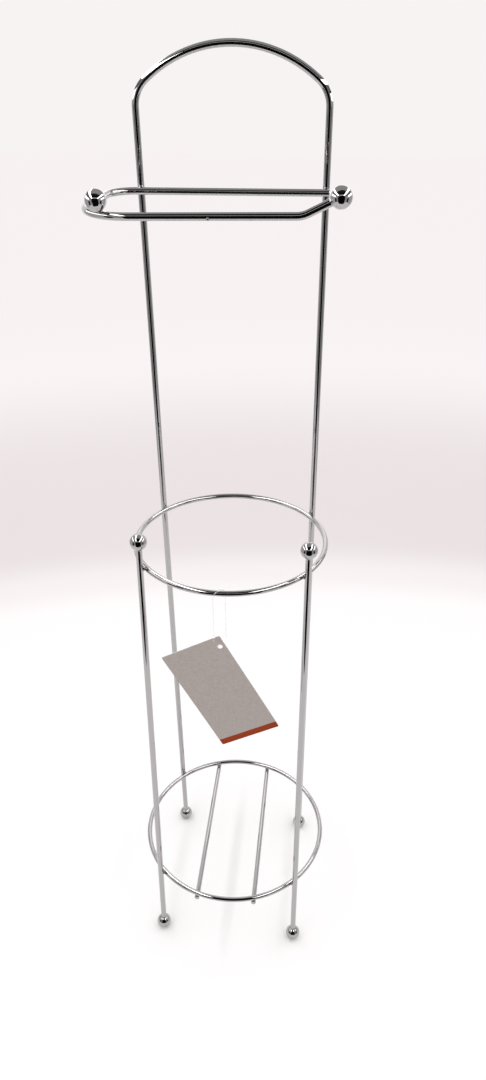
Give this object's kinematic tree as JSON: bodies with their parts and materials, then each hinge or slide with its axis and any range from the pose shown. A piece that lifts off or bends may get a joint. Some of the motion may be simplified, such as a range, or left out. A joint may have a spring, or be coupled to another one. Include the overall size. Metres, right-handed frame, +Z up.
{
  "type": "toilet roll and brush stand",
  "caption": "Free-standing chromed wire stand with an arched frame, an open-ended toilet roll bar and two rings that hold a brush pot; a card tag hangs on the front.",
  "frame": {"origin": "centre of the part's box at floor level, under the feet", "axes": "+Z up along the legs, +X to the right towards the roll bar's open end, -Y towards the front where the roll bar and the tag are"},
  "size_m": [0.16, 0.16, 0.6865],
  "materials": {
    "rear_frame": "bright, lightly rippled plating",
    "front_post_left": "bright, lightly rippled plating",
    "front_post_right": "bright, lightly rippled plating",
    "brush_ring_upper": "bright, lightly rippled plating",
    "brush_ring_lower": "bright, lightly rippled plating",
    "base_rod_left": "bright, lightly rippled plating",
    "base_rod_right": "bright, lightly rippled plating",
    "roll_holder": "bright, lightly rippled plating",
    "foot_ball_front_left": "bright, lightly rippled plating",
    "foot_ball_front_right": "bright, lightly rippled plating",
    "foot_ball_rear_left": "bright, lightly rippled plating",
    "foot_ball_rear_right": "bright, lightly rippled plating",
    "post_cap_ball_left": "bright, lightly rippled plating",
    "post_cap_ball_right": "bright, lightly rippled plating",
    "roll_stop_ball": "bright, lightly rippled plating",
    "roll_end_ball": "bright, lightly rippled plating",
    "tag_loop": "clear nylon",
    "hang_tag": "silver-grey printed card"
  },
  "bodies": {
    "stand": {"rear_frame": "rear_frame", "front_post_left": "front_post_left", "front_post_right": "front_post_right", "brush_ring_upper": "brush_ring_upper", "brush_ring_lower": "brush_ring_lower", "base_rod_left": "base_rod_left", "base_rod_right": "base_rod_right", "roll_holder": "roll_holder", "foot_ball_front_left": "foot_ball_front_left", "foot_ball_front_right": "foot_ball_front_right", "foot_ball_rear_left": "foot_ball_rear_left", "foot_ball_rear_right": "foot_ball_rear_right", "post_cap_ball_left": "post_cap_ball_left", "post_cap_ball_right": "post_cap_ball_right", "roll_stop_ball": "roll_stop_ball", "roll_end_ball": "roll_end_ball"},
    "loop": {"tag_loop": "tag_loop"},
    "tag": {"hang_tag": "hang_tag"}
  },
  "joints": [
    {"name": "loop_swing", "type": "hinge", "parent": "stand", "child": "loop", "pos_m": [0.00003, -0.069, 0.372], "axis": [1, 0, 0], "range_deg": [-90, 60]},
    {"name": "tag_swing", "type": "hinge", "parent": "loop", "child": "tag", "pos_m": [0.00003, -0.069, 0.32885], "axis": [0, 1, 0], "range_deg": [-30, 30]}
  ]
}
